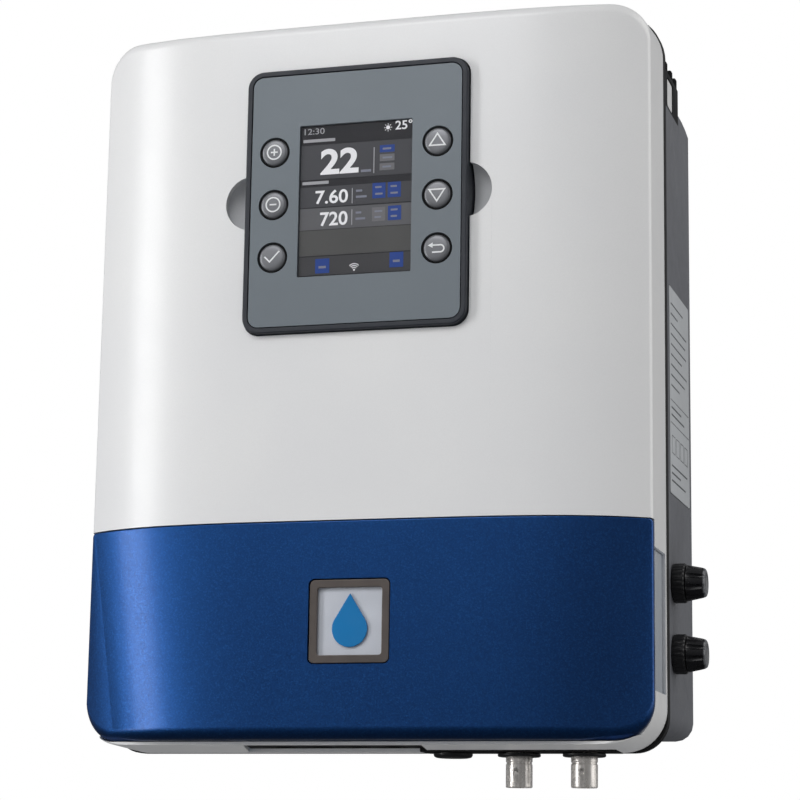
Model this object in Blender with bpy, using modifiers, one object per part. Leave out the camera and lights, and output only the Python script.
"""Salt chlorine generator: the wall-hung control unit of a pool's salt electrolysis system.

Metres, +Z up. X runs to the right and +Y runs into the wall. The origin is the middle of the flat
rear face that lies against the wall, so every piece stands at negative Y.
"""
import math

import bmesh
import bpy

MM = 0.001
GAP = 0.3 * MM                          # space kept between neighbouring pieces
BIG = 60.0 * MM                         # how far a cutter runs past the material it cuts

# ---- front shell: bowed front, rounded outline, drafted sides ----
HALF_WIDTH = 106.2 * MM
SHELL_TOP = 134.9 * MM                  # at the front of the bowed face
TOP_SLOPE = 0.2                         # the top rises this much for each unit of depth
SHELL_BOTTOM = -131.4 * MM              # at the front edge
BOTTOM_DRAFT = 1.3 * MM                 # how much lower the underside lies at the rear edge
TOP_CORNER = 14.0 * MM
REAR_TOP_CORNER = 18.0 * MM
BOTTOM_CORNER = 15.5 * MM
SHELL_WALL = 2.6 * MM
FRONT_FACE = -102.5 * MM                # front of the bowed face, in the middle
FRONT_FALL = 16.0 * MM                  # how far the bowed face falls back at its sides
FRONT_POWER = 4.5
SHELL_REAR = -60.0 * MM
CORNER_STEPS = 4
BOW_STEPS = 7
EDGE_STEPS = 2

# ---- middle frame and rear casing ----
FRAME_FRONT = SHELL_REAR + GAP
CASING_FRONT = -54.7 * MM
FRAME_REAR = CASING_FRONT - GAP
FRAME_HALF_WIDTH = 106.3 * MM
FRAME_CORNER = 12.5 * MM                # lower corners: they show past the shell's rounder ones
CASING_HALF_WIDTH = 105.5 * MM
CASING_BOTTOM = -125.3 * MM
CASING_TOP = 117.0 * MM                  # at the vent's rear face
CASING_REAR_TOP = 112.6 * MM            # at the wall: the top slopes down to it
CASING_CORNER = 6.7 * MM
CASING_WALL = 2.5 * MM
CASING_BACK = 3.0 * MM
VENT_TOP = 129.5 * MM
VENT_SIDE_TOP = 125.5 * MM
VENT_REAR = -23.5 * MM
VENT_PLATE = 2.0 * MM
VENT_PLATES = (-45.0 * MM, -34.0 * MM, -24.5 * MM)
VENT_ROOF = 2.0 * MM
VENT_SLOTS = 6
VENT_SLOT_PITCH = 30.0 * MM
WINDOW_Y = (-47.0 * MM, -35.0 * MM)     # latch windows in the casing's side walls
WINDOW_Z = (111.5 * MM, 123.0 * MM)
WINDOW_CORNERS = (1.5 * MM, 1.5 * MM)
LATCH_ARM_X = (99.6 * MM, 101.6 * MM)
BOARD_POSTS = [(x, z) for x in (-80.0 * MM, 60.0 * MM) for z in (-108.0 * MM, -8.0 * MM)]
BOARD_REAR = -12.4 * MM
COVER_SCREWS = {"left": -92.0 * MM, "right": 92.0 * MM}
COVER_SCREW_Z = -112.0 * MM

# ---- wall bracket ----
BRACKET_HALF_WIDTH = 60.0 * MM
BRACKET_Z = (62.0 * MM, 84.0 * MM)
HOOK_TOP = 92.0 * MM
HOOK_X = (-40.0 * MM, 40.0 * MM)
HOOK_HALF_WIDTH = 9.0 * MM
BRACKET_TRAVEL = 10.0 * MM

# ---- lower cover (the blue door of the wiring compartment) ----
DOOR_TOP = -52.6 * MM
DOOR_BOTTOM = -130.1 * MM
DOOR_CORNER = 14.0 * MM
DOOR_WALL = 2.4 * MM
DOOR_REAR = -84.0 * MM
LIP_FRONT = -93.0 * MM                  # front of the white lip under the door
BADGE_Z = -88.6 * MM
BADGE_SIZE = 29.7 * MM
BADGE_WINDOW = 24.0 * MM

# ---- wiring compartment behind the door ----
TUB_HALF_WIDTH = 103.0 * MM
TUB_FRONT = DOOR_REAR + 0.4 * MM
TUB_BACK = SHELL_REAR
TUB_FLOOR = TUB_BACK - 2.0 * MM
GRIP_Y = (-83.7 * MM, -62.6 * MM)       # opening in the shell's side wall; it runs on into the door
GRIP_Z = (-112.5 * MM, -62.0 * MM)
GRIP_PAD_X = 105.0 * MM
TERMINAL_FACE = TUB_FLOOR - 4.6 * MM    # front of the terminal board
TERMINAL_POSTS = [(x, z) for x in (-76.0 * MM, 76.0 * MM) for z in (-104.0 * MM, -76.0 * MM)]
PEG_X = (-90.0 * MM, 90.0 * MM)
PEG_Z = -86.0 * MM

# ---- display module ----
DISPLAY_Z = 66.9 * MM
DISPLAY_WIDTH = 84.9 * MM
DISPLAY_HEIGHT = 100.1 * MM
DISPLAY_CORNER = 6.2 * MM
DISPLAY_FRONT = -105.0 * MM
DISPLAY_REAR = -86.3 * MM
DISPLAY_RIM = 1.9 * MM
SCREEN_Z = 66.0 * MM
SCREEN_WIDTH = 43.2 * MM
SCREEN_HEIGHT = 57.6 * MM
BUTTON_X = 31.3 * MM
BUTTON_Z = 65.26 * MM
BUTTON_PITCH = 20.05 * MM
BUTTON_RADIUS = 4.95 * MM
BUTTON_HOLE = 5.8 * MM
FINGER_X = 40.7 * MM
FINGER_Z = 67.2 * MM
FINGER_RADIUS = 10.3 * MM
SCOOP_RADIUS = 15.0 * MM                # the bowl behind each finger opening
SCOOP_DEPTH = 5.0 * MM

# ---- fuse holders and signal sockets ----
FUSE_Y = -40.7 * MM
FUSE_ROWS = {"upper": -70.0 * MM, "lower": -96.0 * MM}
FUSE_BARREL = 5.8 * MM
SOCKET_Y = -62.0 * MM
SOCKET_X = {"left": 52.6 * MM, "right": 76.5 * MM}
PLUG_X = 28.0 * MM
TONGUE_UNDER = -132.8 * MM              # underside of the frame's connector tongue
TONGUE_TOP = -130.8 * MM
SOCKET_LENGTH = 12.4 * MM               # how far a signal socket stands below the tongue

# ---- transformer ----
TRANSFORMER_X = 48.0 * MM
TRANSFORMER_Z = 50.0 * MM

# ---- finishes: colour, roughness, metallic ----
WHITE_PLASTIC = ((0.80, 0.80, 0.79), 0.42, 0.0)
BLUE_PAINT = ((0.010, 0.055, 0.200), 0.34, 0.6)
DARK_GREY = ((0.115, 0.118, 0.135), 0.55, 0.0)
MID_GREY = ((0.17, 0.18, 0.20), 0.5, 0.0)
BLACK_PLASTIC = ((0.010, 0.010, 0.012), 0.4, 0.0)
PANEL_GREY = ((0.185, 0.215, 0.245), 0.45, 0.2)
BEZEL_GREY = ((0.040, 0.045, 0.058), 0.4, 0.0)
BUTTON_SILVER = ((0.25, 0.26, 0.28), 0.35, 0.7)
RUBBER_BLACK = ((0.008, 0.008, 0.009), 0.7, 0.0)
GLASS_DARK = ((0.03, 0.03, 0.035), 0.08, 0.0)
SCREEN_GREY = ((0.05, 0.05, 0.055), 0.3, 0.0)
BOARD_GREEN = ((0.015, 0.13, 0.045), 0.45, 0.0)
TERMINAL_GREEN = ((0.03, 0.28, 0.09), 0.5, 0.0)
NICKEL = ((0.62, 0.59, 0.55), 0.22, 1.0)
STEEL = ((0.55, 0.56, 0.58), 0.35, 1.0)
ALUMINIUM = ((0.72, 0.73, 0.75), 0.4, 1.0)
COPPER_WINDING = ((0.42, 0.16, 0.06), 0.45, 0.4)
LABEL_GREY = ((0.40, 0.42, 0.44), 0.5, 0.0)
BADGE_BROWN = ((0.13, 0.11, 0.105), 0.4, 0.5)
BADGE_SILVER = ((0.45, 0.47, 0.56), 0.3, 0.6)
EMBLEM_BLUE = ((0.02, 0.24, 0.55), 0.2, 0.0)
PTFE_WHITE = ((0.75, 0.74, 0.70), 0.5, 0.0)
FUSE_GLASS = ((0.55, 0.58, 0.56), 0.15, 0.3)

AXIS_TURN = {"X": (90, 0, 90), "Y": (90, 0, 0), "Z": (0, 0, 0)}
SPIN_TURN = {"+X": (0, 90, 0), "-Y": (90, 0, 0), "-Z": (180, 0, 0)}


# ---------------------------------------------------------------- scene and helpers

def start_clean():
    """Remove the scene's objects and make the two collections."""
    for item in list(bpy.data.objects):
        bpy.data.objects.remove(item, do_unlink=True)
    for name in ("salt_chlorine_generator", "cutters"):
        collection = bpy.data.collections.new(name)
        bpy.context.scene.collection.children.link(collection)


def link(item, collection="salt_chlorine_generator"):
    bpy.data.collections[collection].objects.link(item)
    return item


def turn(degrees):
    return tuple(math.radians(angle) for angle in degrees)


def finish(item, look):
    """Give a piece its own material."""
    colour, roughness, metallic = look
    material = bpy.data.materials.new(item.name)
    material.use_nodes = True
    shader = material.node_tree.nodes["Principled BSDF"]
    shader.inputs["Base Color"].default_value = (*colour, 1.0)
    shader.inputs["Roughness"].default_value = roughness
    shader.inputs["Metallic"].default_value = metallic
    item.data.materials.clear()
    item.data.materials.append(material)
    return item


def evaluated_mesh(item):
    bpy.context.view_layer.update()
    graph = bpy.context.evaluated_depsgraph_get()
    return bpy.data.meshes.new_from_object(item.evaluated_get(graph))


def tidy_mesh(mesh):
    """Weld a mesh's loose points, drop needless edges on flat faces and point the faces out."""
    work = bmesh.new()
    work.from_mesh(mesh)
    bmesh.ops.remove_doubles(work, verts=work.verts, dist=0.002 * MM)
    bmesh.ops.dissolve_limit(work, angle_limit=math.radians(0.1), verts=work.verts, edges=work.edges)
    bmesh.ops.recalc_face_normals(work, faces=work.faces)
    work.to_mesh(mesh)
    work.free()


def outline_solid(name, outlines, axis, low, high):
    """A flat outline, with any holes after it, given thickness from low to high along an axis.

    The outline's two coordinates are the axis's other two, in X, Y, Z order.
    """
    curve = bpy.data.curves.new(name, "CURVE")
    curve.dimensions = "2D"
    curve.fill_mode = "BOTH"
    curve.extrude = (high - low) / 2
    for outline in outlines:
        spline = curve.splines.new("POLY")
        spline.points.add(len(outline) - 1)
        spline.use_cyclic_u = True
        for point, place in zip(spline.points, outline):
            point.co = (*place, 0, 1)
    flat = link(bpy.data.objects.new(name + "_outline", curve))
    flat.rotation_euler = turn(AXIS_TURN[axis])
    flat.location["XYZ".index(axis)] = (low + high) / 2
    mesh = evaluated_mesh(flat)
    tidy_mesh(mesh)
    item = link(bpy.data.objects.new(name, mesh))
    item.matrix_world = flat.matrix_world
    bpy.data.objects.remove(flat, do_unlink=True)
    return item


def box(name, x, y, z):
    """A box between two values along each axis."""
    mesh = bpy.data.meshes.new(name)
    work = bmesh.new()
    bmesh.ops.create_cube(work, size=1.0)
    bmesh.ops.scale(work, vec=(x[1] - x[0], y[1] - y[0], z[1] - z[0]), verts=work.verts)
    work.to_mesh(mesh)
    work.free()
    item = link(bpy.data.objects.new(name, mesh))
    item.location = (sum(x) / 2, sum(y) / 2, sum(z) / 2)
    return item


def rod(name, radius, spin, start, length, sides=24):
    """A cylinder that starts at a point and runs along a signed axis."""
    mesh = bpy.data.meshes.new(name)
    work = bmesh.new()
    bmesh.ops.create_cone(
        work, cap_ends=True, segments=sides, radius1=radius, radius2=radius, depth=length)
    bmesh.ops.translate(work, vec=(0, 0, length / 2), verts=work.verts)
    work.to_mesh(mesh)
    work.free()
    item = link(bpy.data.objects.new(name, mesh))
    item.rotation_euler = turn(SPIN_TURN[spin])
    item.location = start
    return item


def turned(name, profile, spin, start, steps=24, closed=False):
    """A turned piece: (radius, height) points down the outer side, spun about a signed axis."""
    mesh = bpy.data.meshes.new(name)
    links = [(i, i + 1) for i in range(len(profile) - 1)]
    if closed:
        links.append((len(profile) - 1, 0))
    mesh.from_pydata([(radius, 0, height) for radius, height in profile], links, [])
    item = link(bpy.data.objects.new(name, mesh))
    screw = item.modifiers.new("spin", "SCREW")
    screw.axis = "Z"
    screw.steps = steps
    screw.render_steps = steps
    screw.use_merge_vertices = True
    screw.merge_threshold = 0.002 * MM
    screw.use_smooth_shade = True
    item.rotation_euler = turn(SPIN_TURN[spin])
    item.location = start
    return item


def combine(target, other, operation):
    """Cut, join or intersect two solids; the second becomes a guide."""
    modifier = target.modifiers.new(operation.lower(), "BOOLEAN")
    modifier.operation = operation
    modifier.object = other
    modifier.solver = "EXACT"
    for collection in list(other.users_collection):
        collection.objects.unlink(other)
    link(other, "cutters")
    other.hide_render = True
    other.display_type = "WIRE"
    return target


def cut(target, *others):
    for other in others:
        combine(target, other, "DIFFERENCE")
    return target


def join(target, *others):
    for other in others:
        combine(target, other, "UNION")
    return target


def round_edges(item, width, segments, chosen):
    """Round the edges for which chosen(middle, direction) holds, in world coordinates."""
    mesh = evaluated_mesh(item)
    item.modifiers.clear()
    item.data = mesh
    work = bmesh.new()
    work.from_mesh(mesh)
    place = item.matrix_world
    edges = []
    for edge in work.edges:
        start = place @ edge.verts[0].co
        end = place @ edge.verts[1].co
        if edge.calc_face_angle(0.0) > math.radians(20) and chosen((start + end) / 2, end - start):
            edges.append(edge)
    bmesh.ops.bevel(
        work, geom=edges, offset=width, segments=segments, profile=0.5, affect="EDGES",
        clamp_overlap=True)
    work.to_mesh(mesh)
    work.free()
    return item


def rounded_box_outline(x, z, lower, upper, steps=4):
    """A rectangle with rounded corners; lower and upper are the corner radii."""
    corners = (
        (x[1] - lower, z[0] + lower, lower, -90),
        (x[1] - upper, z[1] - upper, upper, 0),
        (x[0] + upper, z[1] - upper, upper, 90),
        (x[0] + lower, z[0] + lower, lower, 180),
    )
    points = []
    for centre_x, centre_z, radius, first in corners:
        for step in range(steps + 1):
            angle = math.radians(first + 90 * step / steps)
            points.append((centre_x + radius * math.cos(angle), centre_z + radius * math.sin(angle)))
    return points


def circle(centre_x, centre_z, radius, sides=18):
    angles = [2 * math.pi * step / sides for step in range(sides)]
    return [(centre_x + radius * math.cos(a), centre_z + radius * math.sin(a)) for a in angles]


def body_empty(name, place):
    """An empty on a joint's axis, for the pieces that move together."""
    empty = link(bpy.data.objects.new(name, None))
    empty.location = place
    return empty


def attach(empty, *pieces):
    bpy.context.view_layer.update()
    for piece in pieces:
        piece.parent = empty
        piece.matrix_parent_inverse = empty.matrix_world.inverted()


# ---------------------------------------------------------------- bowed blocks

def bow(x):
    """Depth of the bowed front: almost flat in the middle, falling back towards the sides."""
    return FRONT_FACE + FRONT_FALL * abs(x / HALF_WIDTH) ** FRONT_POWER


def edge_columns(half_width, radius):
    """Columns across one long edge of the outline, from side to side.

    Each is (centre, across, out): an arc's centre and the direction of the outline from there.
    """
    flat = half_width - radius
    corner = [math.radians(90) * step / CORNER_STEPS for step in range(CORNER_STEPS)]
    left = [(-flat, -math.cos(angle), math.sin(angle)) for angle in corner]
    spread = [math.radians(90) * step / BOW_STEPS for step in range(-BOW_STEPS, BOW_STEPS + 1)]
    middle = [(flat * math.sin(angle), 0.0, 1.0) for angle in spread]
    right = [(-centre, -across, out) for centre, across, out in reversed(left)]
    return left + middle + right


def bowed_loop(size, edges, angle, behind, rear, slope):
    """One loop of a bowed block: round the edge by angle, or flat at depth rear."""
    half_width, bottom, top, bottom_radius, top_radius = size
    side_edge, bottom_edge, top_edge = edges
    loop = []
    rows = ((top, top_radius, top_edge, -1), (bottom, bottom_radius, bottom_edge, 1))
    for level, radius, edge, inward in rows:
        row = []
        for centre, across, out in edge_columns(half_width, radius):
            rounding = side_edge + (edge - side_edge) * out
            reach = radius - rounding * (1 - math.cos(angle))
            x = centre + reach * across
            z = level + inward * (radius - reach * out)
            depth = rear
            if rear is None:
                depth = bow(x) + behind + rounding * (1 - math.sin(angle))
            lift = slope * (depth - FRONT_FACE) if level == top else 0.0
            row.append((x, depth, z + lift))
        loop.append(row)
    return loop[0] + loop[1][::-1]


def bowed_block(name, size, edges, behind, rear, rear_size=None, slope=0.0):
    """A solid with the bowed front, set back by behind, lofted through its loops to a flat rear.

    size is (half width, bottom, top, bottom radius, top radius) at the front, and rear_size the
    same at the rear where it differs; edges is the rounding of the side, bottom and top edges,
    and slope the rise of the top towards the rear.
    """
    loops = [bowed_loop(rear_size or size, edges, 0.0, behind, rear, slope)]
    steps = EDGE_STEPS if max(edges) > 0 else 0
    for step in range(steps + 1):
        angle = math.radians(90) * step / max(steps, 1)
        loops.append(bowed_loop(size, edges, angle, behind, None, slope))
    work = bmesh.new()
    rings = [[work.verts.new(point) for point in loop] for loop in loops]
    count = len(rings[0])
    for first, second in zip(rings, rings[1:]):
        for i in range(count):
            j = (i + 1) % count
            work.faces.new((first[i], first[j], second[j], second[i]))
    last = rings[-1]
    for i in range(count // 2 - 1):
        work.faces.new((last[i], last[i + 1], last[count - 2 - i], last[count - 1 - i]))
    work.faces.new(rings[0][::-1])
    bmesh.ops.recalc_face_normals(work, faces=work.faces)
    mesh = bpy.data.meshes.new(name)
    work.to_mesh(mesh)
    work.free()
    mesh.shade_smooth()
    mesh.set_sharp_from_angle(angle=math.radians(30))
    return link(bpy.data.objects.new(name, mesh))


# ---------------------------------------------------------------- casing pieces

def shell_sizes(wall):
    """The shell's size at the front and at the rear, moved in by a wall's thickness."""
    half_width = HALF_WIDTH - wall
    bottom = SHELL_BOTTOM + wall
    top = SHELL_TOP - wall
    corner = BOTTOM_CORNER - wall
    front = (half_width, bottom, top, corner, TOP_CORNER - wall)
    rear = (half_width, bottom - BOTTOM_DRAFT, top, corner, REAR_TOP_CORNER - wall)
    return front, rear


def make_front_cover():
    """White front shell, with the display's opening, the door's opening and the grip cut-outs."""
    front, rear = shell_sizes(0.0)
    cover = bowed_block(
        "front_cover", front, (1.0 * MM, 2.5 * MM, 3.5 * MM), 0.0, SHELL_REAR, rear, TOP_SLOPE)
    front, rear = shell_sizes(SHELL_WALL)
    hollow = bowed_block(
        "cut_cover_hollow", front, (0.0, 0.0, 0.0), SHELL_WALL, SHELL_REAR + 1.0 * MM, rear, TOP_SLOPE)
    door_opening = outline_solid(
        "cut_door_opening",
        [rounded_box_outline(
            (-HALF_WIDTH - 0.7 * MM, HALF_WIDTH + 0.7 * MM), (DOOR_BOTTOM - GAP, DOOR_TOP + GAP),
            DOOR_CORNER + GAP, 1.5 * MM)],
        "Y", FRONT_FACE - BIG, DOOR_REAR + GAP)
    lip_trim = box(
        "cut_lip", (-2 * HALF_WIDTH, 2 * HALF_WIDTH), (FRONT_FACE - BIG, LIP_FRONT),
        (SHELL_BOTTOM - BIG, (DOOR_TOP + DOOR_BOTTOM) / 2))
    return finish(cut(
        cover, hollow, door_opening, lip_trim, display_opening(), finger_openings(),
        grip_openings(), entry_opening("cut_entry", 0.0), tongue_notch()), WHITE_PLASTIC)


def display_opening():
    half_width = DISPLAY_WIDTH / 2 + 0.4 * MM
    half_height = DISPLAY_HEIGHT / 2 + 0.4 * MM
    outline = rounded_box_outline(
        (-half_width, half_width), (DISPLAY_Z - half_height, DISPLAY_Z + half_height),
        DISPLAY_CORNER, DISPLAY_CORNER)
    return outline_solid("cut_display", [outline], "Y", FRONT_FACE - BIG, FRONT_FACE + 10.0 * MM)


def finger_openings():
    """Two discs that let a finger reach behind the display module's sides."""
    discs = []
    for side in (-1, 1):
        start = (side * FINGER_X, FRONT_FACE + 10.0 * MM, FINGER_Z)
        discs.append(rod("cut_finger", FINGER_RADIUS, "-Y", start, 30.0 * MM, 32))
    return join(discs[0], discs[1])


def grip_openings():
    """Cut-outs in the side walls beside the door, for pulling it off."""
    return box(
        "cut_grips", (-2 * HALF_WIDTH, 2 * HALF_WIDTH), (GRIP_Y[0] - 6.0 * MM, GRIP_Y[1]), GRIP_Z)


def entry_opening(name, inset):
    """Cut-out in the underside for the cable entry, with slanted ends."""
    outline = [
        (-42.2 * MM + inset, -91.8 * MM), (24.3 * MM - inset, -91.8 * MM),
        (19.5 * MM - inset, -64.0 * MM), (-50.0 * MM + inset, -64.0 * MM)]
    return outline_solid(name, [outline], "Z", SHELL_BOTTOM - 10.0 * MM, SHELL_BOTTOM + 8.0 * MM)


def tongue_notch():
    """Notch in the shell's underside that clears the frame's connector tongue."""
    return box(
        "cut_tongue", (PLUG_X - 11.0 * MM, 90.0 * MM), (-72.5 * MM, SHELL_REAR + 5.0 * MM),
        (SHELL_BOTTOM - 10.0 * MM, SHELL_BOTTOM + 8.0 * MM))


def make_cover_latches(cover):
    """White spring arms on the shell's side walls, whose heads fill the casing's windows."""
    clearance = 0.4 * MM
    head_y = (WINDOW_Y[0] + clearance, WINDOW_Y[1] - clearance)
    head_z = (WINDOW_Z[0] + clearance, WINDOW_Z[1] - clearance)
    corners = [radius - clearance for radius in WINDOW_CORNERS]
    arm_z = (110.5 * MM, 123.5 * MM)
    for side in (-1, 1):
        root_x = sorted((side * LATCH_ARM_X[0], side * (HALF_WIDTH - 1.6 * MM)))
        arm_x = sorted((side * LATCH_ARM_X[0], side * LATCH_ARM_X[1]))
        head_x = sorted((side * (LATCH_ARM_X[0] + 0.5 * MM), side * (CASING_HALF_WIDTH - GAP)))
        head = outline_solid("latch_head", [rounded_box_outline(head_y, head_z, *corners)], "X", *head_x)
        join(
            cover, box("latch_root", root_x, (-78.0 * MM, SHELL_REAR - GAP), arm_z),
            box("latch_arm", arm_x, (SHELL_REAR - 4.0 * MM, -35.0 * MM), arm_z), head)
    return cover


def make_mid_frame():
    """Black frame between the white shell and the casing, with the connector tongue below."""
    top = SHELL_TOP + TOP_SLOPE * (FRAME_REAR - FRONT_FACE)
    outer = rounded_box_outline(
        (-FRAME_HALF_WIDTH, FRAME_HALF_WIDTH), (SHELL_BOTTOM - BOTTOM_DRAFT, top), FRAME_CORNER,
        REAR_TOP_CORNER)
    inner = rounded_box_outline(
        (-98.9 * MM, 98.9 * MM), (CASING_BOTTOM + 5.0 * MM, 122.0 * MM), 6.0 * MM, 6.0 * MM)
    frame = outline_solid("mid_frame", [outer, inner[::-1]], "Y", FRAME_FRONT, FRAME_REAR)
    tongue_outline = rounded_box_outline(
        (PLUG_X - 10.5 * MM, 89.5 * MM), (-72.0 * MM, FRAME_REAR - GAP), 3 * MM, 1 * MM)
    join(frame, outline_solid("frame_tongue", [tongue_outline], "Z", TONGUE_UNDER, TONGUE_TOP))
    for x in (*SOCKET_X.values(), PLUG_X):
        start = (x, SOCKET_Y, SHELL_BOTTOM + 20 * MM)
        cut(frame, rod("cut_socket", 5.2 * MM, "-Z", start, 40 * MM))
    for side in (-1, 1):
        notch_x = sorted((side * 90.0 * MM, side * (LATCH_ARM_X[1] + 0.6 * MM)))
        notch_z = (109.5 * MM, 124.5 * MM)
        cut(frame, box("cut_latch", notch_x, (SHELL_REAR - 4 * MM, -40 * MM), notch_z))
    return finish(frame, BLACK_PLASTIC)


def make_rear_casing():
    """Dark rear casing: tub, vent plates at the top, side ports, posts and bracket pocket."""
    outline = rounded_box_outline(
        (-CASING_HALF_WIDTH, CASING_HALF_WIDTH), (CASING_BOTTOM, CASING_TOP), CASING_CORNER, 3 * MM)
    casing = outline_solid("rear_casing", [outline], "Y", CASING_FRONT, 0.0)
    slope = [
        (VENT_REAR, CASING_TOP), (1 * MM, CASING_REAR_TOP), (1 * MM, CASING_TOP + BIG),
        (VENT_REAR, CASING_TOP + BIG)]
    wide = CASING_HALF_WIDTH + BIG
    cut(casing, outline_solid("cut_slope", [slope], "X", -wide, wide))
    vent_outline = rounded_box_outline(
        (-CASING_HALF_WIDTH, CASING_HALF_WIDTH), (CASING_TOP - 20 * MM, VENT_SIDE_TOP), 0.5 * MM, 1 * MM)
    join(casing, outline_solid("vent_block", [vent_outline], "Y", CASING_FRONT, VENT_REAR))
    inside = CASING_HALF_WIDTH - CASING_WALL
    hollow = outline_solid(
        "cut_casing_hollow",
        [rounded_box_outline(
            (-inside, inside), (CASING_BOTTOM + CASING_WALL, CASING_REAR_TOP - CASING_WALL),
            CASING_CORNER - CASING_WALL, 1 * MM)],
        "Y", CASING_FRONT - BIG, -CASING_BACK)
    chimney = box(
        "cut_chimney", (-inside, inside), (CASING_FRONT - BIG, VENT_REAR - VENT_PLATE),
        (CASING_REAR_TOP - 30 * MM, VENT_SIDE_TOP - VENT_ROOF))
    cut(casing, hollow, chimney)
    for middle in VENT_PLATES:
        plate_outline = rounded_box_outline(
            (-CASING_HALF_WIDTH + 0.4 * MM, CASING_HALF_WIDTH - 0.4 * MM),
            (CASING_TOP - 1.5 * MM, VENT_TOP), 0.5 * MM, 0.8 * MM)
        join(casing, outline_solid(
            "vent_plate", [plate_outline], "Y", middle - VENT_PLATE / 2, middle + VENT_PLATE / 2))
    for first, second in zip(VENT_PLATES, VENT_PLATES[1:]):
        bay = (first + VENT_PLATE / 2 + 1.5 * MM, second - VENT_PLATE / 2 - 1.5 * MM)
        for step in range(VENT_SLOTS):
            x = (step - (VENT_SLOTS - 1) / 2) * VENT_SLOT_PITCH
            slot_z = (VENT_SIDE_TOP - 5 * MM, VENT_TOP + BIG)
            cut(casing, box("cut_vent_slot", (x - 8 * MM, x + 8 * MM), bay, slot_z))
    cut_latch_windows(casing)
    add_casing_posts(casing)
    cut_bracket_pocket(casing)
    for z in FUSE_ROWS.values():
        start = (inside - 10 * MM, FUSE_Y, z)
        cut(casing, rod("cut_fuse_port", FUSE_BARREL + GAP, "+X", start, 30 * MM))
    cut(casing, box(
        "cut_label_bed", (CASING_HALF_WIDTH - 0.4 * MM, CASING_HALF_WIDTH + 10 * MM),
        (-47.2 * MM, -4.8 * MM), (-37.2 * MM, 41.7 * MM)))
    return finish(casing, DARK_GREY)


def cut_latch_windows(casing):
    """Rounded windows in both side walls, where the shell's latch tabs show."""
    outline = rounded_box_outline(WINDOW_Y, WINDOW_Z, *WINDOW_CORNERS)
    for side in (-1, 1):
        span = sorted((side * 99.0 * MM, side * (CASING_HALF_WIDTH + 10 * MM)))
        cut(casing, outline_solid("cut_window", [outline], "X", *span))
        slot_x = sorted((side * 99.0 * MM, side * (LATCH_ARM_X[1] + 0.6 * MM)))
        cut(casing, box("cut_tab_slot", slot_x, (-60 * MM, -34.4 * MM), (109.9 * MM, 124.1 * MM)))


def add_casing_posts(casing):
    """Posts under the main board, and the two long bosses that the cover screws go into."""
    for x, z in BOARD_POSTS:
        post = rod("board_post", 3.5 * MM, "-Y", (x, -CASING_BACK + 1 * MM, z), 10.1 * MM, 16)
        join(casing, post)
    boss_rear = -CASING_BACK + 1 * MM
    boss_length = boss_rear - TUB_BACK - GAP
    for x in COVER_SCREWS.values():
        join(casing, rod("screw_boss", 4.5 * MM, "-Y", (x, boss_rear, COVER_SCREW_Z), boss_length, 20))
        cut(casing, rod("cut_boss", 2.0 * MM, "-Y", (x, -20 * MM, COVER_SCREW_Z), 40 * MM, 16))


def cut_bracket_pocket(casing):
    """Pocket for the wall bracket in the rear face, with two undercuts for its hooks."""
    low = BRACKET_Z[0] - BRACKET_TRAVEL - 1.0 * MM
    pad_x = (-BRACKET_HALF_WIDTH - 4 * MM, BRACKET_HALF_WIDTH + 4 * MM)
    join(casing, box("bracket_pad", pad_x, (-6.2 * MM, -CASING_BACK + 1 * MM), (low - 4 * MM, 97 * MM)))
    cut(casing, box(
        "cut_bracket", (-BRACKET_HALF_WIDTH - 0.5 * MM, BRACKET_HALF_WIDTH + 0.5 * MM),
        (-4.2 * MM, 5 * MM), (low, BRACKET_Z[1] + 0.5 * MM)))
    for x in HOOK_X:
        cut(casing, box(
            "cut_hook", (x - HOOK_HALF_WIDTH - 0.5 * MM, x + HOOK_HALF_WIDTH + 0.5 * MM),
            (-4.2 * MM, -1.8 * MM), (BRACKET_Z[1] - 2 * MM, HOOK_TOP + 0.5 * MM)))


def make_wall_bracket():
    """Steel plate screwed to the wall; the casing hooks over its two raised tongues."""
    screw_holes = [circle(x, 71.0 * MM, 2.6 * MM, 16)[::-1] for x in (-50 * MM, 0.0, 50 * MM)]
    outline = rounded_box_outline(
        (-BRACKET_HALF_WIDTH, BRACKET_HALF_WIDTH), BRACKET_Z, 3 * MM, 3 * MM)
    bracket = outline_solid("wall_bracket", [outline, *screw_holes], "Y", -1.5 * MM, 0.0)
    for x in HOOK_X:
        span = (x - HOOK_HALF_WIDTH, x + HOOK_HALF_WIDTH)
        step_z = (BRACKET_Z[1] - 6 * MM, BRACKET_Z[1] - 0.5 * MM)
        join(bracket, box("hook_step", span, (-3.6 * MM, -0.7 * MM), step_z))
        join(bracket, box("hook_tongue", span, (-3.6 * MM, -2.2 * MM), (BRACKET_Z[1] - 5 * MM, HOOK_TOP)))
    return finish(bracket, STEEL)


def make_rating_label():
    """Plate-like sticker on the right side wall; its face carries no lettering."""
    outline = rounded_box_outline((-47.0 * MM, -5.0 * MM), (-37.0 * MM, 41.5 * MM), 1 * MM, 1 * MM, 3)
    low = CASING_HALF_WIDTH - 0.1 * MM
    return finish(outline_solid("rating_label", [outline], "X", low, low + 0.3 * MM), LABEL_GREY)


# ---------------------------------------------------------------- wiring compartment

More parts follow.
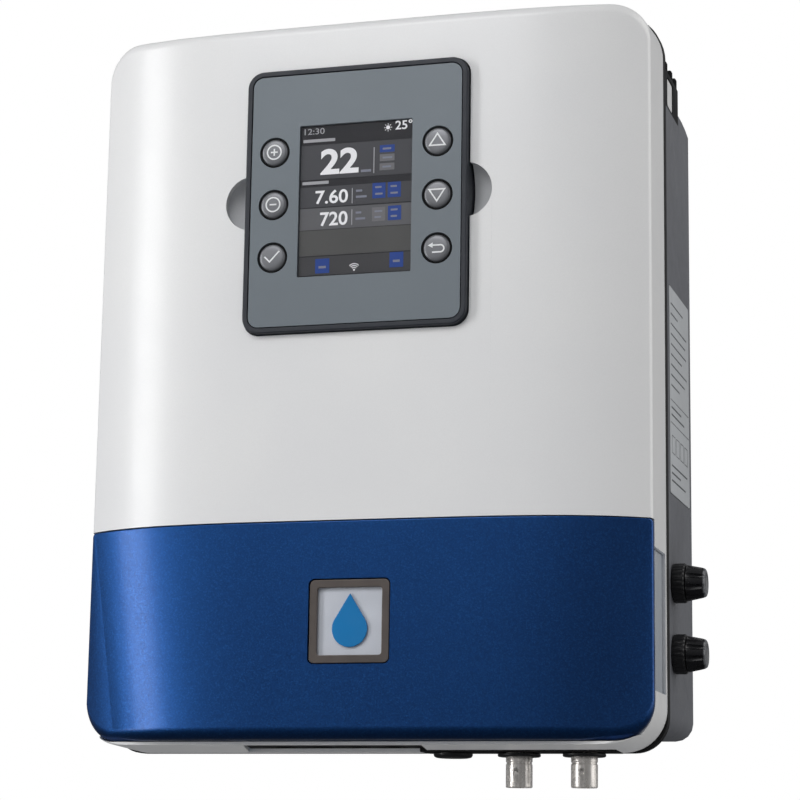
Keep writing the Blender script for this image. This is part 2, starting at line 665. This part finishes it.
def make_wiring_tub():
    """Grey compartment behind the door: a floor, and side walls whose pads fill the grip openings."""
    half_width = TUB_HALF_WIDTH
    bottom = SHELL_BOTTOM + SHELL_WALL + GAP
    top = DOOR_TOP + 4.0 * MM
    wall = 2.0 * MM
    outer = rounded_box_outline((-half_width, half_width), (bottom, top), 11.8 * MM, 2.5 * MM)
    inner = rounded_box_outline(
        (-half_width + wall, half_width - wall), (bottom + wall, top - wall), 9.8 * MM, 1.0 * MM)
    tub = outline_solid("wiring_tub", [outer], "Y", TUB_FRONT, TUB_BACK)
    pocket = outline_solid("cut_tub", [inner], "Y", FRONT_FACE, TUB_FLOOR)
    cut(tub, pocket, entry_opening("cut_tub_entry", 0.4 * MM))
    cut(tub, box(
        "cut_socket_bay", (PLUG_X - 9.5 * MM, 88.5 * MM), (-71.0 * MM, TUB_BACK + 5 * MM),
        (SHELL_BOTTOM - 5 * MM, -121.0 * MM)))
    cut(tub, box("cut_wire_slot", (-60 * MM, 60 * MM), (-70 * MM, -50 * MM), (-62 * MM, -56 * MM)))
    for x in COVER_SCREWS.values():
        cut(tub, rod("cut_screw", 2.1 * MM, "-Y", (x, -50 * MM, COVER_SCREW_Z), 30 * MM, 16))
    for x, z in TERMINAL_POSTS:
        join(tub, rod("terminal_post", 3.0 * MM, "-Y", (x, TUB_FLOOR + 1 * MM, z), 4.0 * MM, 16))
    for x in PEG_X:
        start = (x, TUB_FLOOR + 1 * MM, PEG_Z)
        join(tub, rod("peg_socket", 4.2 * MM, "-Y", start, 16.0 * MM, 20))
        cut(tub, rod("cut_peg", 2.4 * MM, "-Y", (x, TUB_FLOOR - 2 * MM, PEG_Z), 40 * MM, 16))
    clearance = 0.4 * MM
    pad_y = (GRIP_Y[0] + clearance, GRIP_Y[1] - clearance)
    pad_z = (GRIP_Z[0] + clearance, GRIP_Z[1] - clearance)
    for side in (-1, 1):
        pad_x = sorted((side * (half_width - 0.5 * MM), side * GRIP_PAD_X))
        join(tub, box("grip_pad", pad_x, pad_y, pad_z))
    return finish(tub, MID_GREY)


def make_cable_entry():
    """Dark insert that closes the underside cut-out, with four blind membranes for cables."""
    under = SHELL_BOTTOM + 0.1 * MM
    plate = outline_solid("cable_entry", [[
        (-41.7 * MM, -91.4 * MM), (23.8 * MM, -91.4 * MM), (20.5 * MM, -72.4 * MM),
        (17.1 * MM, -72.4 * MM), (17.1 * MM, -64.5 * MM), (-49.2 * MM, -64.5 * MM)]],
        "Z", under, DOOR_BOTTOM - GAP)
    plinth = outline_solid("entry_plinth", [[
        (-42.0 * MM, TUB_FRONT), (21.0 * MM, TUB_FRONT), (19.8 * MM, -72.4 * MM),
        (17.1 * MM, -72.4 * MM), (17.1 * MM, -64.9 * MM), (-47.5 * MM, -64.9 * MM)]],
        "Z", under + 0.5 * MM, under + 3.4 * MM)
    insert = join(plate, plinth)
    for x in (-32.0 * MM, -18.0 * MM, -4.0 * MM, 10.0 * MM):
        start = (x, -73.5 * MM, under + 5.6 * MM)
        join(insert, rod("membrane", 5.5 * MM, "-Z", start, 5.0 * MM, 14))
        cut(insert, rod("cut_membrane", 4.3 * MM, "-Z", (x, -73.5 * MM, under + 3.9 * MM), 6 * MM, 14))
    return finish(insert, RUBBER_BLACK)


def terminal_strip(name, x, z, ways, pitch, depth, height, look):
    """A row of screw terminals: one block with a screw well and a wire mouth for each way."""
    front = TERMINAL_FACE - GAP - depth
    width = ways * pitch
    block = box(name, (x, x + width), (front, TERMINAL_FACE - GAP), (z, z + height))
    for way in range(ways):
        middle = x + (way + 0.5) * pitch
        well = (middle, front + 3 * MM, z + 0.62 * height)
        mouth = 0.32 * pitch
        mouth_y = (front + 2.5 * MM, front + depth - 3 * MM)
        mouth_z = (z - 5 * MM, z + 0.28 * height)
        cut(
            block, rod("cut_well", 0.36 * pitch, "-Y", well, 9 * MM, 8),
            box("cut_mouth", (middle - mouth, middle + mouth), mouth_y, mouth_z))
    return finish(block, look)


def make_terminals():
    """Terminal board on the tub's posts, with its four strips of screw terminals."""
    outline = rounded_box_outline((-80 * MM, 80 * MM), (-108 * MM, -70 * MM), 2 * MM, 2 * MM, 3)
    board = outline_solid("terminal_board", [outline], "Y", TERMINAL_FACE, TERMINAL_FACE + 1.6 * MM)
    finish(board, BOARD_GREEN)
    low = -96 * MM
    terminal_strip("mains_terminal", -72 * MM, low, 3, 7.62 * MM, 14 * MM, 12 * MM, BLACK_PLASTIC)
    terminal_strip("cell_terminal", -42 * MM, low, 3, 9.5 * MM, 16 * MM, 14 * MM, BLACK_PLASTIC)
    terminal_strip("relay_terminal", -8 * MM, low, 8, 5.08 * MM, 11 * MM, 10 * MM, TERMINAL_GREEN)
    terminal_strip("probe_terminal", 38 * MM, low, 6, 5.08 * MM, 11 * MM, 10 * MM, TERMINAL_GREEN)


def make_cover_screws():
    """Pan-head screws that hold the shell and the tub to the casing's bosses."""
    profile = [(0.0, 2.2), (2.2, 1.9), (3.3, 1.0), (3.3, 0.0), (1.7, 0.0), (1.7, -26.0), (0.0, -26.0)]
    slot_y = (TUB_FLOOR - 5 * MM, TUB_FLOOR - 1.5 * MM)
    slot_z = (COVER_SCREW_Z - 0.4 * MM, COVER_SCREW_Z + 0.4 * MM)
    for side, x in COVER_SCREWS.items():
        start = (x, TUB_FLOOR - GAP, COVER_SCREW_Z)
        screw = turned("cover_screw_" + side, scaled(profile), "-Y", start, 16)
        cut(screw, box("cut_slot", (x - 5 * MM, x + 5 * MM), slot_y, slot_z))
        finish(screw, STEEL)


# ---------------------------------------------------------------- lower cover and badge

def make_lower_cover():
    """Blue door: a bowed tray with a rounded lower edge, a badge pocket and two snap pegs."""
    size = (HALF_WIDTH, DOOR_BOTTOM, DOOR_TOP, DOOR_CORNER, 1.5 * MM)
    door = bowed_block("lower_cover", size, (0.5 * MM, 4.5 * MM, 0.5 * MM), 0.0, DOOR_REAR)
    wall = DOOR_WALL
    hollow_size = (
        HALF_WIDTH - wall, DOOR_BOTTOM + wall, DOOR_TOP - wall, DOOR_CORNER - wall, 0.8 * MM)
    cut(door, bowed_block("cut_door", hollow_size, (0.0, 0.0, 0.0), wall, DOOR_REAR + 5 * MM))
    pad = BADGE_SIZE / 2 + 2.5 * MM
    pad_y = (FRONT_FACE + 1 * MM, FRONT_FACE + 5.1 * MM)
    join(door, box("badge_pad", (-pad, pad), pad_y, (BADGE_Z - pad, BADGE_Z + pad)))
    half = BADGE_SIZE / 2 + 0.35 * MM
    pocket = rounded_box_outline((-half, half), (BADGE_Z - half, BADGE_Z + half), 2.2 * MM, 2.2 * MM)
    cut(door, outline_solid("cut_badge", [pocket], "Y", FRONT_FACE - BIG, FRONT_FACE + 3.4 * MM))
    for x in PEG_X:
        front = bow(x) + 1.0 * MM
        join(door, rod("snap_peg", 1.9 * MM, "-Y", (x, -66.0 * MM, PEG_Z), -66.0 * MM - front, 16))
    return finish(door, BLUE_PAINT)


def make_badge():
    """Badge frame, silver plate and a plain droplet, sunk in the door's pocket."""
    half = BADGE_SIZE / 2
    window = BADGE_WINDOW / 2
    outer = rounded_box_outline((-half, half), (BADGE_Z - half, BADGE_Z + half), 2 * MM, 2 * MM)
    inner = rounded_box_outline((-window, window), (BADGE_Z - window, BADGE_Z + window), 1 * MM, 1 * MM, 3)
    frame_rear = FRONT_FACE + 1.7 * MM
    frame = outline_solid("badge_frame", [outer, inner[::-1]], "Y", FRONT_FACE + 0.4 * MM, frame_rear)
    plate_half = half - 0.2 * MM
    plate_outline = rounded_box_outline(
        (-plate_half, plate_half), (BADGE_Z - plate_half, BADGE_Z + plate_half), 1.8 * MM, 1.8 * MM)
    plate = outline_solid("badge_plate", [plate_outline], "Y", frame_rear + GAP, frame_rear + 1.4 * MM)
    droplet = outline_solid("badge_emblem", [droplet_outline()], "Y", FRONT_FACE + 1.0 * MM, frame_rear)
    return [finish(frame, BADGE_BROWN), finish(plate, BADGE_SILVER), finish(droplet, EMBLEM_BLUE)]


def droplet_outline():
    """A water drop: a round belly whose sides run tangentially to a point above."""
    radius = 6.6 * MM
    centre_z = BADGE_Z - 2.6 * MM
    tip = BADGE_Z + 10.0 * MM
    tangent = math.asin(radius / (tip - centre_z))
    first = math.degrees(tangent)
    points = [(0.0, tip)]
    for step in range(25):
        angle = math.radians(180 - first + (180 + 2 * first) * step / 24)
        points.append((radius * math.cos(angle), centre_z + radius * math.sin(angle)))
    return points


# ---------------------------------------------------------------- display module and its dock

def make_display_dock():
    """Grey dock behind the shell: a socket for the module, with a finger scoop at each side."""
    half_width = DISPLAY_WIDTH / 2
    half_height = DISPLAY_HEIGHT / 2
    size = (
        half_width + 12 * MM, DISPLAY_Z - half_height - 3.5 * MM, DISPLAY_Z + half_height + 3.5 * MM,
        6 * MM, 6 * MM)
    dock = bowed_block("display_dock", size, (0.0, 0.0, 0.0), SHELL_WALL + GAP, -82.0 * MM)
    well = display_outline(-0.5 * MM, DISPLAY_CORNER)
    cut(dock, outline_solid("cut_well", [well], "Y", FRONT_FACE - BIG, DISPLAY_REAR + 1.2 * MM))
    face = FRONT_FACE + SHELL_WALL + GAP
    for side in (-1, 1):
        scoop_mesh = bpy.data.meshes.new("cut_scoop")
        work = bmesh.new()
        bmesh.ops.create_uvsphere(work, u_segments=20, v_segments=16, radius=SCOOP_RADIUS)
        work.to_mesh(scoop_mesh)
        work.free()
        scoop = link(bpy.data.objects.new("cut_scoop", scoop_mesh))
        scoop.location = (side * FINGER_X, face + SCOOP_DEPTH - SCOOP_RADIUS, FINGER_Z)
        cut(dock, scoop)
    cut(dock, box("cut_dock_socket", (-13 * MM, 13 * MM), (-95 * MM, -75 * MM), (56 * MM, 68 * MM)))
    return finish(dock, MID_GREY)


def make_dock_socket():
    """Connector fixed in the dock's floor, which the module's plug slides into."""
    socket = box("dock_socket", (-12.6 * MM, 12.6 * MM), (-84.8 * MM, -78.5 * MM), (56.4 * MM, 67.6 * MM))
    mouth = box("cut_mouth", (-10.6 * MM, 10.6 * MM), (-95 * MM, -80.5 * MM), (58.4 * MM, 65.6 * MM))
    cut(socket, mouth)
    return finish(socket, BLACK_PLASTIC)


def button_places():
    """Name and position of each button, top row first."""
    names = {-1: ("plus", "minus", "ok"), 1: ("up", "down", "back")}
    places = {}
    for side, column in names.items():
        for row, name in enumerate(column):
            places[name] = (side * BUTTON_X, BUTTON_Z + (1 - row) * BUTTON_PITCH)
    return places


def display_outline(inset, corner):
    """The module's rounded outline, moved in by a margin."""
    half_width = DISPLAY_WIDTH / 2 - inset
    half_height = DISPLAY_HEIGHT / 2 - inset
    return rounded_box_outline(
        (-half_width, half_width), (DISPLAY_Z - half_height, DISPLAY_Z + half_height), corner, corner)


def screen_outline(margin, corner):
    half_width = SCREEN_WIDTH / 2 + margin
    half_height = SCREEN_HEIGHT / 2 + margin
    return rounded_box_outline(
        (-half_width, half_width), (SCREEN_Z - half_height, SCREEN_Z + half_height), corner, corner, 3)


def make_display_case():
    """Dark tray whose rim is the module's frame; it opens to the front."""
    outline = display_outline(0.0, DISPLAY_CORNER)
    case = outline_solid("display_case", [outline], "Y", DISPLAY_FRONT, DISPLAY_REAR)
    round_edges(case, 0.8 * MM, 2, lambda middle, run: middle.y < DISPLAY_FRONT + 1 * MM)
    hollow = display_outline(DISPLAY_RIM, DISPLAY_CORNER - DISPLAY_RIM)
    cut(case, outline_solid("cut_case", [hollow], "Y", DISPLAY_FRONT - BIG, DISPLAY_REAR - 1.6 * MM))
    cut(case, box("cut_case_plug", (-11 * MM, 11 * MM), (-95 * MM, -80 * MM), (58 * MM, 66 * MM)))
    return finish(case, BEZEL_GREY)


def make_display_fascia():
    """Blue-grey face plate with the screen's window and the six button holes."""
    holes = [screen_outline(0.0, 0.4 * MM)[::-1]]
    holes += [circle(x, z, BUTTON_HOLE)[::-1] for x, z in button_places().values()]
    plate = display_outline(DISPLAY_RIM + 0.35 * MM, DISPLAY_CORNER - DISPLAY_RIM - 0.3 * MM)
    fascia = outline_solid(
        "display_fascia", [plate, *holes], "Y", DISPLAY_FRONT + 0.2 * MM, DISPLAY_FRONT + 1.8 * MM)
    return finish(fascia, PANEL_GREY)


def make_display_screen():
    """Clear window set in the fascia, and the picture panel whose raised face fills the opening."""
    opening = screen_outline(-GAP, 0.3 * MM)
    pane_rear = DISPLAY_FRONT + 0.9 * MM
    window = outline_solid("display_window", [opening], "Y", DISPLAY_FRONT + 0.3 * MM, pane_rear)
    panel_front = DISPLAY_FRONT + 2.1 * MM
    panel = outline_solid(
        "lcd_panel", [screen_outline(3.0 * MM, 0.5 * MM)], "Y", panel_front, panel_front + 2.3 * MM)
    join(panel, outline_solid(
        "panel_face", [opening], "Y", pane_rear + 0.4 * MM, panel_front + 0.5 * MM))
    return [finish(window, GLASS_DARK), finish(panel, SCREEN_GREY)]


def make_keypad_mat():
    """Rubber mat behind the fascia, with a black collar round each button."""
    outlines = [display_outline(DISPLAY_RIM + 1.0 * MM, 3.0 * MM), screen_outline(3.5 * MM, 0.5 * MM)[::-1]]
    back = DISPLAY_FRONT + 3.8 * MM
    mat = outline_solid("keypad_mat", outlines, "Y", back - 1.2 * MM, back)
    for x, z in button_places().values():
        rings = [circle(x, z, BUTTON_HOLE - GAP), circle(x, z, BUTTON_RADIUS + 0.25 * MM)[::-1]]
        join(mat, outline_solid("collar", rings, "Y", DISPLAY_FRONT + 0.4 * MM, back - 0.8 * MM))
    return finish(mat, RUBBER_BLACK)


def make_display_board():
    """Circuit board inside the module, with the plug that docks into the casing."""
    front = DISPLAY_FRONT + 5.0 * MM
    outline = display_outline(DISPLAY_RIM + 1.0 * MM, 3.0 * MM)
    board = outline_solid("display_board", [outline], "Y", front, front + 1.6 * MM)
    plug_y = (front + 1 * MM, -81.2 * MM)
    join(board, box("plug_body", (-10.2 * MM, 10.2 * MM), plug_y, (58.8 * MM, 65.2 * MM)))
    return finish(board, BOARD_GREEN)


def make_buttons():
    """Six domed keys, each with a short stem inside its collar."""
    radius = BUTTON_RADIUS / MM
    dome = [
        (0.0, 0.95), (0.58 * radius, 0.82), (0.87 * radius, 0.50), (0.97 * radius, 0.20), (radius, -0.10),
        (radius, -1.0), (0.0, -1.0)]
    buttons = []
    for name, (x, z) in button_places().items():
        start = (x, DISPLAY_FRONT + 0.45 * MM, z)
        buttons.append(finish(turned("button_" + name, scaled(dome), "-Y", start, 18), BUTTON_SILVER))
    return buttons


# ---------------------------------------------------------------- fuse holders

def make_fuse_set(row, z):
    """One panel fuse holder: body and nut stay, the glass link pulls out and its cap turns."""
    wall_out = CASING_HALF_WIDTH
    start = (wall_out, FUSE_Y, z)
    body_profile = [
        (0.0, -25.0), (3.3, -25.0), (3.3, 1.2), (5.0, 1.2), (5.0, 4.9), (6.1, 4.9), (6.9, 4.7),
        (7.3, 4.2), (7.3, 0.8), (7.1, 0.3), (5.75, 0.3), (5.75, -27.0), (0.0, -27.0)]
    holder = turned("fuse_holder_" + row, scaled(body_profile), "+X", start, 16)
    nut_outline = circle(FUSE_Y, z, 8.6 * MM, 6)
    nut = outline_solid(
        "fuse_nut_" + row, [nut_outline, circle(FUSE_Y, z, FUSE_BARREL + 0.25 * MM)[::-1]], "X",
        wall_out - CASING_WALL - GAP - 3.5 * MM, wall_out - CASING_WALL - GAP)
    cap_profile = [
        (0.0, 12.1), (4.6, 12.1), (5.2, 11.8), (5.5, 11.2), (6.7, 5.2), (4.6, 5.2), (4.6, 1.6), (0.0, 1.6)]
    cap = turned("fuse_cap_" + row, scaled(cap_profile), "+X", start, 16)
    flutes = 8
    flute_circle = 6.45 * MM
    for step in range(flutes):
        angle = 2 * math.pi * step / flutes
        across = FUSE_Y + flute_circle * math.cos(angle)
        place = (wall_out + 6.4 * MM, across, z + flute_circle * math.sin(angle))
        cut(cap, rod("cut_flute", 1.1 * MM, "+X", place, 12 * MM, 6))
    slot_x = (wall_out + 11.2 * MM, wall_out + 20 * MM)
    slot_y = (FUSE_Y - 0.6 * MM, FUSE_Y + 0.6 * MM)
    cut(cap, box("cut_cap_slot", slot_x, slot_y, (z - 3.4 * MM, z + 3.4 * MM)))
    link_profile = [
        (0.0, 1.2), (2.6, 1.2), (2.6, -4.2), (2.3, -4.3), (2.3, -14.2), (2.6, -14.3), (2.6, -19.6),
        (0.0, -19.6)]
    fuse = turned("fuse_link_" + row, scaled(link_profile), "+X", start, 16)
    finish(holder, BLACK_PLASTIC)
    finish(nut, BLACK_PLASTIC)
    finish(cap, BLACK_PLASTIC)
    finish(fuse, FUSE_GLASS)
    carrier = body_empty("fuse_carrier_" + row, start)
    attach(carrier, cap, fuse)


def scaled(profile):
    """A profile given in millimetres, in metres."""
    return [(radius * MM, height * MM) for radius, height in profile]


# ---------------------------------------------------------------- signal sockets

def make_signal_socket(side, x):
    """Bayonet coaxial socket below the tongue, with its washer and its insulator."""
    start = (x, SOCKET_Y, TONGUE_UNDER)
    end = SOCKET_LENGTH / MM
    barrel = [
        (3.2, 2.4), (4.0, 2.4), (4.0, end), (4.5, end), (4.8, end - 0.4), (4.8, 1.9), (4.7, 1.6),
        (4.7, -3.2), (3.2, -3.2)]
    jack = turned("bnc_jack_" + side, scaled(barrel), "-Z", start, 16, closed=True)
    lug_z = TONGUE_UNDER - 7.5 * MM
    for lug_y in (SOCKET_Y - 4.4 * MM, SOCKET_Y + 5.8 * MM):
        join(jack, rod("bayonet_lug", 0.85 * MM, "-Y", (x, lug_y, lug_z), 1.4 * MM, 12))
    washer_profile = [(5.1, 0.3), (5.1, 1.5), (7.3, 1.5), (7.75, 1.2), (7.75, 0.5), (7.5, 0.3)]
    washer = turned("bnc_washer_" + side, scaled(washer_profile), "-Z", start, 18, closed=True)
    insulator_profile = [(0.0, 11.2), (0.7, 10.8), (0.7, 5.2), (2.9, 5.2), (2.9, -5.0), (0.0, -5.0)]
    insulator = turned("bnc_insulator_" + side, scaled(insulator_profile), "-Z", start, 12)
    finish(jack, NICKEL)
    finish(washer, BLACK_PLASTIC)
    finish(insulator, PTFE_WHITE)


def make_blanking_plug():
    """Push-in plug that closes the unused third socket hole."""
    profile = [
        (0.0, 1.9), (5.6, 1.9), (6.8, 1.5), (7.1, 0.9), (7.1, 0.3), (4.7, 0.3), (4.9, -4.5), (0.0, -4.5)]
    start = (PLUG_X, SOCKET_Y, TONGUE_UNDER)
    return finish(turned("blanking_plug", scaled(profile), "-Z", start, 18), BLACK_PLASTIC)


# ---------------------------------------------------------------- electronics in the rear casing

def make_main_board():
    outline = rounded_box_outline((-86 * MM, 66 * MM), (-114 * MM, -2 * MM), 2 * MM, 2 * MM, 3)
    board = outline_solid("main_board", [outline], "Y", BOARD_REAR - 1.6 * MM, BOARD_REAR)
    return finish(board, BOARD_GREEN)


def make_board_parts():
    """Relays and the smoothing capacitor standing on the main board."""
    face = BOARD_REAR - 1.6 * MM - GAP
    relay_y = (face - 15.5 * MM, face)
    for name, x in (("relay_1", -80 * MM), ("relay_2", -56 * MM)):
        relay = box(name, (x, x + 15 * MM), relay_y, (-40 * MM, -20 * MM))
        round_edges(
            relay, 1.0 * MM, 2,
            lambda middle, run: middle.y < BOARD_REAR - 10 * MM or abs(run.y) > 5 * MM)
        finish(relay, BLACK_PLASTIC)
    can = [
        (0.0, 30.0), (11.0, 30.0), (12.0, 29.2), (12.5, 28.0), (12.5, 4.0), (11.6, 3.2), (12.5, 2.4),
        (12.5, 0.0), (0.0, 0.0)]
    finish(turned("capacitor", scaled(can), "-Y", (8 * MM, face, -34 * MM), 16), BEZEL_GREY)


def make_transformer():
    """Toroidal transformer on the rear wall, with its dished clamp and bolt."""
    squareness = 1 / 1.15
    ring = []
    for step in range(12):
        angle = 2 * math.pi * step / 12
        across = math.copysign(abs(math.cos(angle)) ** squareness, math.cos(angle))
        along = math.copysign(abs(math.sin(angle)) ** squareness, math.sin(angle))
        ring.append((29.0 + 15.5 * across, -17.5 * along))
    start = (TRANSFORMER_X, -24.6 * MM, TRANSFORMER_Z)
    core = turned("transformer", scaled(ring), "-Y", start, 24, closed=True)
    dish = [(3.2, 42.0), (3.2, 44.0), (12.0, 44.0), (29.0, 43.4), (31.0, 42.6), (31.0, 42.4)]
    start = (TRANSFORMER_X, -0.6 * MM, TRANSFORMER_Z)
    clamp = turned("transformer_clamp", scaled(dish), "-Y", start, 24, closed=True)
    bolt_profile = [(0.0, 48.7), (4.6, 48.7), (5.0, 48.1), (5.0, 44.9), (2.9, 44.9), (2.9, 6.7), (0.0, 6.7)]
    start = (TRANSFORMER_X, 0.0, TRANSFORMER_Z)
    bolt = turned("transformer_bolt", scaled(bolt_profile), "-Y", start, 16)
    finish(core, COPPER_WINDING)
    finish(clamp, STEEL)
    finish(bolt, STEEL)


def make_heat_sink():
    """Finned aluminium heat sink, and the rectifier bolted to its front."""
    left = -96.0 * MM
    fins = 8
    pitch = 9.0 * MM
    fin = 2.2 * MM
    base_front = -40.0 * MM
    base_rear = -36.0 * MM
    fin_rear = -8.0 * MM
    outline = [(left, base_front), (left + (fins - 1) * pitch + fin, base_front)]
    for index in reversed(range(fins)):
        x = left + index * pitch
        outline += [(x + fin, base_rear), (x + fin, fin_rear), (x, fin_rear), (x, base_rear)]
    del outline[2]
    del outline[-1]
    finish(outline_solid("heat_sink", [outline], "Z", 16 * MM, 104 * MM), ALUMINIUM)
    rectifier_y = (-50.5 * MM, base_front - GAP)
    rectifier = box("rectifier", (-78 * MM, -49 * MM), rectifier_y, (44 * MM, 73 * MM))
    round_edges(rectifier, 3.0 * MM, 2, lambda middle, run: abs(run.y) > 5 * MM)
    finish(rectifier, BLACK_PLASTIC)


# ---------------------------------------------------------------- assembly

def build():
    start_clean()
    make_cover_latches(make_front_cover())
    make_mid_frame()
    make_rear_casing()
    make_rating_label()
    make_wiring_tub()
    make_cable_entry()
    make_terminals()
    make_cover_screws()
    make_display_dock()
    make_dock_socket()
    make_main_board()
    make_board_parts()
    make_transformer()
    make_heat_sink()
    make_blanking_plug()
    for side, x in SOCKET_X.items():
        make_signal_socket(side, x)
    for row, z in FUSE_ROWS.items():
        make_fuse_set(row, z)
    module = body_empty("display_module", (0.0, DISPLAY_REAR, DISPLAY_Z))
    attach(
        module, make_display_case(), make_display_fascia(), *make_display_screen(), make_keypad_mat(),
        make_display_board(), *make_buttons())
    door = body_empty("door", (0.0, DOOR_REAR, BADGE_Z))
    attach(door, make_lower_cover(), *make_badge())
    bracket = body_empty("bracket", (0.0, 0.0, BRACKET_Z[0]))
    attach(bracket, make_wall_bracket())


build()
